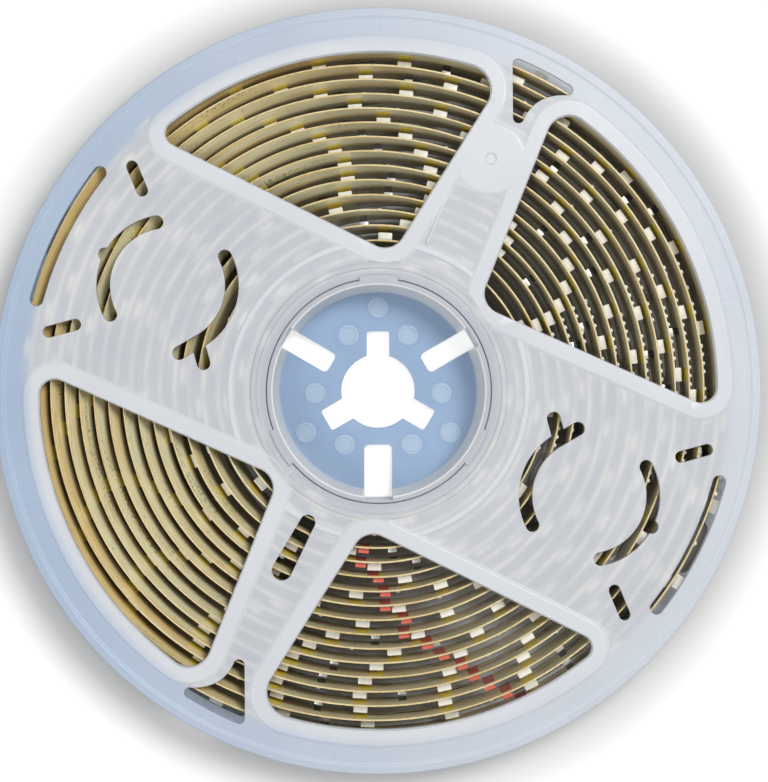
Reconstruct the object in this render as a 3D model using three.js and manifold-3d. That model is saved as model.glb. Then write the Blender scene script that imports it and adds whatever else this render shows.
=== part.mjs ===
// A plastic reel of LED strip light, lying flat. Millimetres, +Z up along the reel's axis.
// The origin is on the axis, in the plane that the reel rests on.
import * as THREE from 'three';
import { mergeVertices } from 'three/addons/utils/BufferGeometryUtils.js';
import Module from 'manifold-3d';

const wasm = await Module();
wasm.setup();

// Reel
const reelDiameter = 152;
const flangeThickness = 1.4;
const reliefHeight = 0.4;
const lipWidth = 1.8;
const pieceGap = 0.3;

// Hub
const hubDiameter = 46.8;
const spigotDiameter = 44.4;
const spigotHoleClearance = 0.3;
const boreMouthDiameter = 42;
const boreFloorDiameter = 40;
const spindleHoleDiameter = 14.9;
const keywayWidth = 4.6;
const keywayReach = 12.1;
const hubSlotStart = 10.9;
const hubSlotWidths = [4.2, 4.2, 5.6];
const hubSlotAngles = [30, 150, 270];
const hubSlotWallLeft = 0.7;
const hubSlotCornerRadius = 0.9;
const snapHookReach = 0.9;
const snapHookSpan = 20;
const padDiameter = 4.2;
const padHeight = 0.2;
const innerPadRadius = 12.8;
const outerPadRadius = 16.9;
const innerPadSpread = 28;

// Flange windows: an edge is a line whose normal points into the window
const rimBandWidth = 9;
const windowBorderWidth = 3.4;
const windows = [
  { out: { normal: 147.8, offset: 12.3 }, in: { normal: 63.7, offset: 25.6 }, fillets: [4, 5, 2.4] },
  { out: { normal: 65.9, offset: 23.8 }, in: { normal: -21.7, offset: 12.1 }, fillets: [4, 3, 4.3] },
];

// Small window in the fork of a narrow spoke: an arc, a straight side and a hollow side
const forkWindowInset = 4.5;
const forkWindowSpan = [57.9, 66.9];
const forkWindowCornerRadius = 1.1;
const forkWindowApexInset = 15.132;
const forkWindowApexAngle = 62.93;
const forkWindowHollowInset = 9.175;
const forkWindowHollowAngle = 62.361;
const forkWindowStraightNormal = 180;
const forkWindowHollowNormals = [-40, -70];

// Flange slots, on the axis of the two wide spokes
const spokeAngle = 153.5;
const longSlotInset = 6;
const longSlotHalfSpan = 11.5;
const longSlotWidth = 2.6;
const shortSlotInset = 4.9;
const shortSlotHalfSpan = 3.2;
const shortSlotWidth = 3.4;
const smallSlotWidth = 2.3;
const smallSlots = [[[-48.8, 44.4], [-46.8, 39.6]], [[-65.2, 11.7], [-60, 13.1]]];
const crescentCentreRadius = 46.7;
const crescentRadius = 12.7;
const crescentWidth = 2.7;
const outerCrescentSpan = [-53.5, 53.5];
const outerCrescentBumpReach = 13.8;
const innerCrescentSpan = [-215.5, -126.5];
const innerCrescentLobes = [[-34.7, 5.5], [-39.5, 7.5]];
const crescentLobeRadius = 1.35;
const spokeSlotEnds = [[-14.1, -26], [-19.2, -35.5]];
const spokeSlotEndRadii = [1.5, 2];

// Raised marks on the front flange
const bossCentre = [22.2, 46];
const bossDiameter = 14.2;
const gateDimpleDiameter = 2.4;
const gateDimpleDepth = 0.3;
const ridgeRadii = [24.9, 29.4];
const ridgeWidth = 0.8;
const ribEnds = [[9.6, 29.5], [15.5, 43]];
const ribWidth = 0.5;

// LED strip, wound as one spiral with its lights outwards
const stripWidth = 8;
const stripThickness = 0.35;
const ledPitch = 50 / 3;
const ledLength = 2.8;
const ledBreadth = 3.5;
const ledHeight = 1.8;
const ledSeatMargin = 0.1;
const turnPitch = 2.845;
const outerTurnInset = 5.34;
const innerEndAngle = 112.4;
const firstLedFromEnd = 15.3;

// How the turns stand: angles in degrees by which their upper edges lean outwards
const coilTilt = 3;
const slackTilt = 26;
const slackMiddle = 165;
const slackFullSpan = 42;
const slackWholeSpan = 100;
const tiltStartRadius = 23;
const tiltFullRadius = 44;
const looseEndLength = 90;
const looseEndTilt = -17;

const chordSag = 0.1;

// Levels and radii worked out from the sizes above
const reelRadius = reelDiameter / 2;
const backPlateLow = reliefHeight;
const backPlateHigh = backPlateLow + flangeThickness;
const stripLow = backPlateHigh + pieceGap;
const stripHigh = stripLow + stripWidth;
const frontPlateLow = stripHigh + pieceGap;
const frontPlateHigh = frontPlateLow + flangeThickness;
const reelHigh = frontPlateHigh + reliefHeight;
const hubRadius = hubDiameter / 2;
const spigotRadius = spigotDiameter / 2;
const keywayAngles = hubSlotAngles.map((angle) => angle + 180 / hubSlotAngles.length);
const windowArcRadius = reelRadius - rimBandWidth;
const forkWindowRadius = reelRadius - forkWindowInset;
const longSlotRadius = reelRadius - longSlotInset;
const shortSlotRadius = reelRadius - shortSlotInset;
const coilInnerRadius = hubRadius + pieceGap + stripThickness / 2;
const outerTurnRadius = reelRadius - outerTurnInset;
const through = 5;

const radians = THREE.MathUtils.degToRad;
const halfTurn = (point) => [-point[0], -point[1]];
const polar = (radius, degrees) => [
  radius * Math.cos(radians(degrees)),
  radius * Math.sin(radians(degrees)),
];
const azimuth = (point) => THREE.MathUtils.radToDeg(Math.atan2(point[1], point[0]));
const along = (from, degrees, length) => {
  const step = polar(length, degrees);
  return [from[0] + step[0], from[1] + step[1]];
};

// Points of an arc in degrees, close enough for the chord sag
function arc(centre, radius, start, end) {
  const step = 2 * THREE.MathUtils.radToDeg(Math.acos(1 - chordSag / radius));
  const count = Math.max(2, Math.ceil(Math.abs(end - start) / step));
  const points = [];
  for (let i = 0; i <= count; i += 1) {
    points.push(along(centre, start + ((end - start) * i) / count, radius));
  }
  return points;
}

function circle(centre, radius) {
  return arc(centre, radius, 0, 360).slice(0, -1);
}

// Counter-clockwise arc, whichever way the two angles are written
function fillet(centre, radius, start, end) {
  const sweep = THREE.MathUtils.euclideanModulo(end - start, 360);
  return arc(centre, radius, start, start + sweep);
}

function toManifold(geometry) {
  const bare = geometry.clone();
  bare.deleteAttribute('normal');
  bare.deleteAttribute('uv');
  const merged = mergeVertices(bare, 1e-5);
  return new wasm.Manifold(new wasm.Mesh({
    numProp: 3,
    vertProperties: new Float32Array(merged.attributes.position.array),
    triVerts: new Uint32Array(merged.index.array),
  }));
}

function toGeometry(solid) {
  const mesh = solid.getMesh();
  const geometry = new THREE.BufferGeometry();
  geometry.setAttribute('position', new THREE.BufferAttribute(mesh.vertProperties, 3));
  geometry.setIndex(new THREE.BufferAttribute(mesh.triVerts, 1));
  return geometry;
}

// A flat outline raised between two levels
function slab(points, low, high) {
  const shape = new THREE.Shape(points.map((point) => new THREE.Vector2(...point)));
  const geometry = new THREE.ExtrudeGeometry(shape, { depth: high - low, bevelEnabled: false });
  return toManifold(geometry.translate(0, 0, low));
}

function ring(innerRadius, outerRadius, low, high) {
  const hole = slab(circle([0, 0], innerRadius), low - through, high + through);
  return slab(circle([0, 0], outerRadius), low, high).subtract(hole);
}

function union(solids) {
  return solids.reduce((whole, solid) => whole.add(solid));
}

// A pattern of outlines and the same pattern turned by half a turn
function bothWays(outlines) {
  return [...outlines, ...outlines.map((points) => points.map(halfTurn))];
}

// Outline between two straight edges and the outer arc, with three rounded corners
function windowOutline({ out, in: inward, fillets }, grow = 0) {
  const outer = windowArcRadius + grow;
  const [hubFillet, outFillet, inFillet] = fillets.map((radius) => radius + grow);
  const corner = (edge, radius, side) => {
    const offset = edge.offset - grow + radius;
    const reach = Math.sqrt((outer - radius) ** 2 - offset ** 2);
    return along(polar(offset, edge.normal), edge.normal - 90, side * reach);
  };
  const outCorner = corner(out, outFillet, 1);
  const inCorner = corner(inward, inFillet, -1);
  const outOffset = out.offset - grow + hubFillet;
  const inOffset = inward.offset - grow + hubFillet;
  const between = radians(inward.normal - out.normal);
  const hubReach = (inOffset - outOffset * Math.cos(between)) / Math.sin(between);
  const hubCorner = along(polar(outOffset, out.normal), out.normal + 90, hubReach);
  return [
    ...fillet(outCorner, outFillet, out.normal + 180, azimuth(outCorner)),
    ...fillet([0, 0], outer, azimuth(outCorner), azimuth(inCorner)).slice(1, -1),
    ...fillet(inCorner, inFillet, azimuth(inCorner), inward.normal + 180),
    ...fillet(hubCorner, hubFillet, inward.normal + 180, out.normal + 180),
  ];
}

function forkOutline() {
  const corner = forkWindowCornerRadius;
  const straightNormal = forkWindowStraightNormal;
  const [apexNormal, rimNormal] = forkWindowHollowNormals;
  const [from, to] = forkWindowSpan;
  const fromCorner = polar(forkWindowRadius - corner, from);
  const toCorner = polar(forkWindowRadius - corner, to);
  const apex = polar(reelRadius - forkWindowApexInset, forkWindowApexAngle);
  const hollow = polar(reelRadius - forkWindowHollowInset, forkWindowHollowAngle);
  const hollowSide = new THREE.QuadraticBezierCurve(
    new THREE.Vector2(...along(apex, apexNormal, corner)),
    new THREE.Vector2(...hollow),
    new THREE.Vector2(...along(fromCorner, rimNormal, corner)),
  );
  return [
    ...fillet(fromCorner, corner, rimNormal, from),
    ...fillet([0, 0], forkWindowRadius, from, to).slice(1, -1),
    ...fillet(toCorner, corner, to, straightNormal),
    ...fillet(apex, corner, straightNormal, apexNormal),
    ...hollowSide.getPoints(6).slice(1, -1).map((point) => [point.x, point.y]),
  ];
}

// Slot with round ends that follows an arc
function arcSlot(centre, radius, start, end, width) {
  const half = width / 2;
  return [
    ...arc(centre, radius + half, start, end),
    ...arc(along(centre, end, radius), half, end, end + 180).slice(1, -1),
    ...arc(centre, radius - half, end, start),
    ...arc(along(centre, start, radius), half, start + 180, start + 360).slice(1, -1),
  ];
}

// Straight slot with round ends that may differ
function straightSlot(from, to, fromRadius, toRadius) {
  const length = Math.hypot(to[0] - from[0], to[1] - from[1]);
  const heading = azimuth([to[0] - from[0], to[1] - from[1]]);
  const tilt = THREE.MathUtils.radToDeg(Math.acos((fromRadius - toRadius) / length));
  return [
    ...arc(from, fromRadius, heading + tilt, heading + 360 - tilt),
    ...arc(to, toRadius, heading - tilt, heading + tilt),
  ];
}

function crescents() {
  const centre = polar(crescentCentreRadius, spokeAngle);
  const [outerFrom, outerTo] = outerCrescentSpan.map((angle) => spokeAngle + angle);
  const [innerFrom, innerTo] = innerCrescentSpan.map((angle) => spokeAngle + angle);
  const foot = along(centre, innerFrom, crescentRadius);
  const lobes = innerCrescentLobes.map((lobe) => (
    straightSlot(lobe, foot, crescentLobeRadius, crescentLobeRadius)
  ));
  return [
    arcSlot(centre, crescentRadius, outerFrom, outerTo, crescentWidth),
    circle(along(centre, spokeAngle, outerCrescentBumpReach), crescentLobeRadius),
    arcSlot(centre, crescentRadius, innerFrom, innerTo, crescentWidth),
    ...lobes,
  ];
}

// Everything that is cut through a flange, apart from its hub
function flangeCuts(low, high, spokeEndSlot) {
  const outlines = bothWays([
    ...windows.map((shape) => windowOutline(shape)),
    forkOutline(),
    spokeEndSlot,
    ...smallSlots.map(([from, to]) => straightSlot(from, to, smallSlotWidth / 2, smallSlotWidth / 2)),
    ...crescents(),
  ]);
  outlines.push(straightSlot(...spokeSlotEnds, ...spokeSlotEndRadii));
  return union(outlines.map((points) => slab(points, low - through, high + through)));
}

// Lip and window borders that stand proud of a flange's outer face
function flangeRelief(low, high) {
  const borders = bothWays(windows.map((shape) => windowOutline(shape, windowBorderWidth)));
  return union([
    ring(reelRadius - lipWidth, reelRadius, low, high),
    ...borders.map((points) => slab(points, low, high)),
    ...ridgeRadii.map((radius) => ring(radius - ridgeWidth / 2, radius + ridgeWidth / 2, low, high)),
  ]);
}

function frontFlange() {
  const plate = slab(circle([0, 0], reelRadius), frontPlateLow, frontPlateHigh);
  const raised = union([
    flangeRelief(frontPlateHigh, reelHigh),
    slab(circle(bossCentre, bossDiameter / 2), frontPlateHigh, reelHigh),
    slab(straightSlot(...ribEnds, ribWidth / 2, ribWidth / 2), frontPlateHigh, reelHigh),
  ]);
  const longSlot = arcSlot(
    [0, 0], longSlotRadius, spokeAngle - longSlotHalfSpan, spokeAngle + longSlotHalfSpan, longSlotWidth,
  );
  const hubHole = slab(
    circle([0, 0], spigotRadius + spigotHoleClearance), frontPlateLow - through, reelHigh + through,
  );
  const dimple = slab(
    circle(bossCentre, gateDimpleDiameter / 2), reelHigh - gateDimpleDepth, reelHigh + through,
  );
  return plate
    .add(raised)
    .subtract(flangeCuts(frontPlateLow, reelHigh, longSlot))
    .subtract(hubHole)
    .subtract(dimple);
}

// Hub turned about the reel's axis: shoulder, spigot and tapered bore
function hubTube() {
  const profile = [
    [boreFloorDiameter / 2, backPlateLow],
    [hubRadius, backPlateLow],
    [hubRadius, frontPlateLow],
    [spigotRadius, frontPlateLow],
    [spigotRadius, reelHigh],
    [boreMouthDiameter / 2, reelHigh],
    [boreFloorDiameter / 2, backPlateHigh],
  ];
  profile.push(profile[0]);
  const step = 2 * Math.acos(1 - chordSag / hubRadius);
  const points = profile.map((point) => new THREE.Vector2(...point));
  const geometry = new THREE.LatheGeometry(points, Math.ceil((2 * Math.PI) / step));
  return toManifold(geometry.rotateX(Math.PI / 2));
}

// Hooks on the spigot's end that catch over the front flange
function snapHooks() {
  return union(keywayAngles.map((angle) => {
    const from = angle - snapHookSpan / 2;
    const to = from + snapHookSpan;
    const inside = spigotRadius - hubSlotWallLeft / 2;
    const outline = [
      ...arc([0, 0], spigotRadius + snapHookReach, from, to),
      ...arc([0, 0], inside, to, from),
    ];
    return slab(outline, frontPlateHigh, reelHigh);
  }));
}

// Round spindle hole with three keyways
function spindleHole() {
  const keyways = keywayAngles.map((angle) => (
    new THREE.BoxGeometry(keywayReach, keywayWidth, flangeThickness + 2 * through)
      .translate(keywayReach / 2, 0, backPlateLow)
      .rotateZ(radians(angle))
  ));
  const hole = slab(circle([0, 0], spindleHoleDiameter / 2), -through, backPlateHigh + through);
  return union([hole, ...keyways.map(toManifold)]);
}

// Radial slots in the hub's floor that run on as grooves up the bore
function hubSlots() {
  return union(hubSlotAngles.map((angle, index) => {
    const half = hubSlotWidths[index] / 2;
    const corner = hubSlotCornerRadius;
    const end = spigotRadius - hubSlotWallLeft;
    const outline = [
      [end, half],
      ...arc([hubSlotStart + corner, half - corner], corner, 90, 180),
      ...arc([hubSlotStart + corner, corner - half], corner, 180, 270),
      [end, -half],
    ];
    return slab(outline, -through, reelHigh + through).rotate([0, 0, angle]);
  }));
}

// Low round pads on the hub's floor
function hubPads() {
  const centres = keywayAngles.flatMap((angle) => [
    polar(outerPadRadius, angle),
    polar(innerPadRadius, angle - innerPadSpread),
    polar(innerPadRadius, angle + innerPadSpread),
  ]);
  const high = backPlateHigh + padHeight;
  return union(centres.map((centre) => slab(circle(centre, padDiameter / 2), backPlateLow, high)));
}

function backFlange() {
  const plate = slab(circle([0, 0], reelRadius), backPlateLow, backPlateHigh);
  const shortSlot = arcSlot(
    [0, 0], shortSlotRadius, spokeAngle - shortSlotHalfSpan, spokeAngle + shortSlotHalfSpan, shortSlotWidth,
  );
  return union([plate, flangeRelief(0, backPlateLow), hubTube(), snapHooks(), hubPads()])
    .subtract(flangeCuts(0, backPlateHigh, shortSlot))
    .subtract(spindleHole())
    .subtract(hubSlots());
}

// Spiral of the strip's middle surface: radius, angle and length are tied to one another
const radiusGrowth = turnPitch / (2 * Math.PI);
const stripLength = (outerTurnRadius ** 2 - coilInnerRadius ** 2) / (2 * radiusGrowth);
const coilRadiusAt = (length) => Math.sqrt(coilInnerRadius ** 2 + 2 * radiusGrowth * length);
const coilAngleAt = (length) => (
  innerEndAngle - THREE.MathUtils.radToDeg((coilRadiusAt(length) - coilInnerRadius) / radiusGrowth)
);

// Lengths along the strip at which its lights sit
const halfSeat = ledLength / 2 + ledSeatMargin;
const ledStations = [];
for (let led = firstLedFromEnd; led < stripLength - halfSeat; led += ledPitch) {
  ledStations.push(led);
}

// The strip stays flat under each light and bends between them
function stripStations() {
  const bends = ledStations.flatMap((led) => [led - ledPitch / 2, led - halfSeat, led + halfSeat]);
  return [0, ...bends, stripLength];
}

function coiledStrip() {
  const side = (offset) => stripStations().map((length) => (
    polar(coilRadiusAt(length) + offset, coilAngleAt(length))
  ));
  const half = stripThickness / 2;
  const ribbon = slab([...side(half), ...side(-half).reverse()], stripLow, stripHigh);
  const lights = ledStations.map((led) => {
    const seatRadius = coilRadiusAt(led) * Math.cos(halfSeat / coilRadiusAt(led));
    const box = new THREE.BoxGeometry(ledHeight + half, ledLength, ledBreadth)
      .translate(seatRadius + (ledHeight + half) / 2, 0, stripLow + stripWidth / 2)
      .rotateZ(radians(coilAngleAt(led)));
    return toManifold(box);
  });
  return settle(toGeometry(wasm.Manifold.union([ribbon, ...lights])));
}

// Radius of the strip's middle surface in the turn that a point belongs to
function turnRadiusAt(point) {
  const first = coilInnerRadius + radiusGrowth * radians(innerEndAngle - azimuth(point));
  const turns = Math.floor((Math.hypot(...point) + stripThickness - first) / turnPitch);
  return first + turns * turnPitch;
}

// The turns lean outwards on the coil's slack side, and inwards at its loose outer end
function settle(geometry) {
  const position = geometry.attributes.position;
  const middle = stripLow + stripWidth / 2;
  for (let i = 0; i < position.count; i += 1) {
    const point = [position.getX(i), position.getY(i)];
    const angle = azimuth(point);
    const turnRadius = turnRadiusAt(point);
    const length = (turnRadius ** 2 - coilInnerRadius ** 2) / (2 * radiusGrowth);
    const fromSlack = Math.abs(THREE.MathUtils.euclideanModulo(angle - slackMiddle + 180, 360) - 180);
    const slack = 1 - THREE.MathUtils.smoothstep(fromSlack, slackFullSpan, slackWholeSpan);
    const free = THREE.MathUtils.smoothstep(turnRadius, tiltStartRadius, tiltFullRadius);
    const loose = THREE.MathUtils.smoothstep(length, stripLength - looseEndLength, stripLength);
    const tilt = radians(free * (coilTilt + slackTilt * slack + looseEndTilt * loose));
    const out = Math.hypot(...point) - turnRadius;
    const up = position.getZ(i) - middle;
    const radius = turnRadius + out * Math.cos(tilt) + up * Math.sin(tilt);
    position.setXYZ(i, ...polar(radius, angle), middle + up * Math.cos(tilt) - out * Math.sin(tilt));
  }
  return geometry;
}

function named(name, geometry, material) {
  const mesh = new THREE.Mesh(geometry, material);
  mesh.name = name;
  return mesh;
}

const milkyPlastic = new THREE.MeshStandardMaterial({ color: 0xd9dee6, roughness: 0.35, metalness: 0 });
const bluePlastic = new THREE.MeshStandardMaterial({ color: 0xc3d2e8, roughness: 0.35, metalness: 0 });
const stripCream = new THREE.MeshStandardMaterial({ color: 0xe9e0b4, roughness: 0.4, metalness: 0 });

const group = new THREE.Group();
group.add(named('back_flange_and_hub', toGeometry(backFlange()), bluePlastic));
group.add(named('front_flange', toGeometry(frontFlange()), milkyPlastic));
group.add(named('led_strip', coiledStrip(), stripCream));

export default group;
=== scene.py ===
import math
import random

import bmesh
import bpy
import numpy as np
from mathutils import Matrix, Vector


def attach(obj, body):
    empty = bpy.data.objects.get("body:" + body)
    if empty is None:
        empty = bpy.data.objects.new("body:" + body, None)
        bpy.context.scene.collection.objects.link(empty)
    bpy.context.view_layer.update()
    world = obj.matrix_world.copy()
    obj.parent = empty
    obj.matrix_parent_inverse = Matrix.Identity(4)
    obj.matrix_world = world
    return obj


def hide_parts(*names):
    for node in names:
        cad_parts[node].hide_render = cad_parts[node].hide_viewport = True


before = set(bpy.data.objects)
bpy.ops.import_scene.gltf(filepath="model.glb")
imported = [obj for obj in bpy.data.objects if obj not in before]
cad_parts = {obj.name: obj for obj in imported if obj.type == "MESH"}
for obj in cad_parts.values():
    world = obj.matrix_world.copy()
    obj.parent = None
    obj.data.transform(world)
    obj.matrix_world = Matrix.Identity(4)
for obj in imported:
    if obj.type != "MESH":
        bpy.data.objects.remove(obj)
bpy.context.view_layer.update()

# All sizes below are in millimetres and degrees; meshes are made in metres.
MM = 0.001

# Reel
REEL_R = 75.9
PLATE = 1.4
RELIEF = 0.4
LIP = 1.8
GAP = 0.3
HUB_R = 23.4
SPIGOT_R = 22.2
SPIGOT_CLEARANCE = 0.3
BORE_MOUTH_R = 21
BORE_FLOOR_R = 20
SPINDLE_R = 7.45
KEYWAY_WIDTH = 4.6
KEYWAY_REACH = 12.1
HUB_SLOT_START = 10.9
HUB_SLOT_WIDTHS = [4.2, 4.2, 5.6]
HUB_SLOT_ANGLES = [30, 150, 270]
KEYWAY_ANGLES = [90, 210, 330]
HUB_SLOT_WALL = 0.7
HOOK_REACH = 0.9
HOOK_SPAN = 20
PAD_R = 2.1
PAD_HEIGHT = 0.2
INNER_PAD_R = 12.8
OUTER_PAD_R = 16.9
INNER_PAD_SPREAD = 28
PAD_RIM = 0.55
WITNESS_RING = (0.66, 0.8)
WITNESS_DEPTH = 0.05
INSIDE_SPINDLE_R = 5

# Windows and slots of the flanges
WINDOW_ARC_R = 67
BORDER = 3.4
WINDOWS = [
    ((147.8, 12.3), (63.7, 25.6), (4, 5, 2.4)),
    ((65.9, 23.8), (-21.7, 12.1), (4, 3, 4.3)),
]
FORK_R = 71.5
FORK_SPAN = (57.9, 66.9)
FORK_CORNER = 1.1
FORK_APEX = (27.7, 54.2)
FORK_HOLLOW = (31, 59.2)
FORK_NORMALS = (180, -40, -70)
SPOKE = 153.5
LONG_SLOT = (70, 11.5, 2.6)
SHORT_SLOT = (71.1, 3.2, 3.4)
SMALL_SLOTS = [((-48.8, 44.4), (-46.8, 39.6)), ((-65.2, 11.7), (-60, 13.1))]
SMALL_SLOT_R = 1.15
CRESCENT_CENTRE_R = 46.7
CRESCENT_R = 12.7
CRESCENT_WIDTH = 2.7
CRESCENT_OUTER = (-53.5, 53.5)
CRESCENT_BUMP = 13.8
CRESCENT_INNER = (-215.5, -126.5)
CRESCENT_LOBES = [(-34.7, 5.5), (-39.5, 7.5)]
LOBE_R = 1.35
SPOKE_SLOT = ((-14.1, -26), (-19.2, -35.5), 1.5, 2)
BOSS = (22.2, 46)
BOSS_R = 7.1
RIDGES = (24.9, 29.4)
RIDGE_WIDTH = 0.8
RIB = ((9.6, 29.5), (15.5, 43))
RIB_R = 0.25
DIMPLE_R = 0.9
DIMPLE_DEPTH = 0.3
RIM_TICKS = [113, 89.5, 194.5, 195.6, 196.7, 197.8, 198.9, 219.5, 263, 289.5, 15]
TICK_SPAN = (70.6, 73.6)
TICK_R = 0.16
TICK_HEIGHT = 0.12

# Strip
STRIP_WIDTH = 8
STRIP_THICK = 0.35
LED_PITCH = 50 / 3
LED_LENGTH = 2.8
LED_BREADTH = 3.5
LED_HEIGHT = 1.8
FIRST_LED = 15.3
TURN_PITCH = 2.845
OUTER_TURN_R = 70.66
INNER_ANGLE = 112.4
COIL_TILT = 3
SLACK_TILT = 26
SLACK_MIDDLE = 165
SLACK_FULL = 42
SLACK_WHOLE = 100
TILT_START_R = 23
TILT_FULL_R = 44
LOOSE_LENGTH = 90
LOOSE_TILT = -17

# Levels
BACK_LOW = RELIEF
BACK_HIGH = BACK_LOW + PLATE
STRIP_LOW = BACK_HIGH + GAP
STRIP_HIGH = STRIP_LOW + STRIP_WIDTH
STRIP_MIDDLE = STRIP_LOW + STRIP_WIDTH / 2
FRONT_LOW = STRIP_HIGH + GAP
FRONT_HIGH = FRONT_LOW + PLATE
TOP = FRONT_HIGH + RELIEF

COIL_R = HUB_R + GAP + STRIP_THICK / 2
GROWTH = TURN_PITCH / (2 * math.pi)
STRIP_LENGTH = (OUTER_TURN_R ** 2 - COIL_R ** 2) / (2 * GROWTH)

# Fineness of curves, angles that stay sharp, and how far tools reach past or into a plate
SAG = 0.006
LATHE_STEPS = 360
HOLLOW_STEPS = 24
CORNER_STEPS = 5
SLOPE_STEPS = 6
EDGE_ANGLES = (0, 0.4, 0.8, 1.2, math.pi / 2)
FLANGE_SHARP = 35
STRIP_SHARP = 30
PART_SHARP = 40
CUT_REACH = 3
ROOT_DEPTH = 0.5
FOOT_SINK = 0.01

rng = random.Random(11)


# Outlines of the moulded parts
def along(point, degrees, length):
    a = math.radians(degrees)
    return (point[0] + length * math.cos(a), point[1] + length * math.sin(a))


def polar(radius, degrees):
    return along((0, 0), degrees, radius)


def azimuth(point):
    return math.degrees(math.atan2(point[1], point[0]))


def arc(centre, radius, start, end):
    step = 2 * math.degrees(math.acos(1 - SAG / radius))
    count = max(3, math.ceil(abs(end - start) / step))
    return [along(centre, start + (end - start) * i / count, radius) for i in range(count + 1)]


def circle(centre, radius):
    return arc(centre, radius, 0, 360)[:-1]


def fillet(centre, radius, start, end):
    return arc(centre, radius, start, start + (end - start) % 360)


def half_turn(points):
    return [(-x, -y) for x, y in points]


def turned(points, degrees):
    c = math.cos(math.radians(degrees))
    s = math.sin(math.radians(degrees))
    return [(x * c - y * s, x * s + y * c) for x, y in points]


def both_ways(outlines):
    return list(outlines) + [half_turn(points) for points in outlines]


def window_outline(shape, grow=0):
    (out_n, out_o), (in_n, in_o), fillets = shape
    outer = WINDOW_ARC_R + grow
    hub_f, out_f, in_f = [radius + grow for radius in fillets]

    def corner(normal, offset, radius, side):
        offset = offset - grow + radius
        reach = math.sqrt((outer - radius) ** 2 - offset ** 2)
        return along(polar(offset, normal), normal - 90, side * reach)

    out_c = corner(out_n, out_o, out_f, 1)
    in_c = corner(in_n, in_o, in_f, -1)
    out_off = out_o - grow + hub_f
    in_off = in_o - grow + hub_f
    between = math.radians(in_n - out_n)
    reach = (in_off - out_off * math.cos(between)) / math.sin(between)
    hub_c = along(polar(out_off, out_n), out_n + 90, reach)
    return (
        fillet(out_c, out_f, out_n + 180, azimuth(out_c))
        + fillet((0, 0), outer, azimuth(out_c), azimuth(in_c))[1:-1]
        + fillet(in_c, in_f, azimuth(in_c), in_n + 180)
        + fillet(hub_c, hub_f, in_n + 180, out_n + 180)
    )


def fork_outline():
    straight, apex_n, rim_n = FORK_NORMALS
    start, end = FORK_SPAN
    from_c = polar(FORK_R - FORK_CORNER, start)
    to_c = polar(FORK_R - FORK_CORNER, end)
    a = along(FORK_APEX, apex_n, FORK_CORNER)
    c = along(from_c, rim_n, FORK_CORNER)
    hollow = []
    for i in range(1, HOLLOW_STEPS):
        t = i / HOLLOW_STEPS
        weights = ((1 - t) ** 2, 2 * t * (1 - t), t * t)
        hollow.append(tuple(
            weights[0] * a[k] + weights[1] * FORK_HOLLOW[k] + weights[2] * c[k] for k in (0, 1)
        ))
    return (
        fillet(from_c, FORK_CORNER, rim_n, start)
        + fillet((0, 0), FORK_R, start, end)[1:-1]
        + fillet(to_c, FORK_CORNER, end, straight)
        + fillet(FORK_APEX, FORK_CORNER, straight, apex_n)
        + hollow
    )


def arc_slot(centre, radius, start, end, width):
    half = width / 2
    return (
        arc(centre, radius + half, start, end)
        + arc(along(centre, end, radius), half, end, end + 180)[1:-1]
        + arc(centre, radius - half, end, start)
        + arc(along(centre, start, radius), half, start + 180, start + 360)[1:-1]
    )


def straight_slot(start, end, start_r, end_r):
    run = (end[0] - start[0], end[1] - start[1])
    heading = azimuth(run)
    tilt = math.degrees(math.acos((start_r - end_r) / math.hypot(*run)))
    return (
        arc(start, start_r, heading + tilt, heading + 360 - tilt)
        + arc(end, end_r, heading - tilt, heading + tilt)
    )


def grown(points, amount):
    """The outline moved outwards by an amount, point by point."""
    p = np.array(points, float)
    nxt = np.roll(p, -1, 0) - p
    prv = p - np.roll(p, 1, 0)
    nxt /= np.linalg.norm(nxt, axis=1)[:, None]
    prv /= np.linalg.norm(prv, axis=1)[:, None]
    n = np.stack([nxt[:, 1] + prv[:, 1], -(nxt[:, 0] + prv[:, 0])], 1)
    n /= np.maximum(np.linalg.norm(n, axis=1), 1e-9)[:, None]
    cosine = np.clip(n[:, 0] * nxt[:, 1] - n[:, 1] * nxt[:, 0], 0.5, 1)
    return p + n * (amount / cosine)[:, None]


# Meshes
def add_object(name, mesh):
    obj = bpy.data.objects.new(name, mesh)
    bpy.context.scene.collection.objects.link(obj)
    return obj


def lofts(name, outlines, profile):
    """Closed solids: each outline follows (growth, level) pairs from low to high."""
    bm = bmesh.new()
    for points in outlines:
        rings = []
        for growth, level in profile:
            ring = grown(points, growth) if growth else np.array(points, float)
            rings.append([bm.verts.new((x * MM, y * MM, level * MM)) for x, y in ring])
        count = len(points)
        for low, high in zip(rings, rings[1:]):
            for i in range(count):
                j = (i + 1) % count
                bm.faces.new((low[i], low[j], high[j], high[i]))
        bm.faces.new(rings[0][::-1])
        bm.faces.new(rings[-1])
    mesh = bpy.data.meshes.new(name)
    bmesh.ops.triangulate(bm, faces=[f for f in bm.faces if len(f.verts) > 4])
    bm.to_mesh(mesh)
    bm.free()
    return add_object(name, mesh)


def cutter(outlines, low, high, edge=0.15):
    """Solids that cut a plate between two levels and round off both edges of the cut."""
    profile = [(edge, low - CUT_REACH)]
    profile += [(edge * (1 - math.sin(a)), low + edge - edge * math.cos(a)) for a in EDGE_ANGLES]
    profile += [(edge * (1 - math.cos(a)), high - edge + edge * math.sin(a)) for a in EDGE_ANGLES]
    profile.append((edge, high + CUT_REACH))
    return lofts("cutter", outlines, profile)


def riser(outlines, base, top, edge=0.3):
    """Solids that stand on a plate, with a rounded upper edge."""
    profile = [(0, base)]
    profile += [(edge * (math.cos(a) - 1), top - edge + edge * math.sin(a)) for a in EDGE_ANGLES]
    return lofts("riser", outlines, profile)


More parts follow.
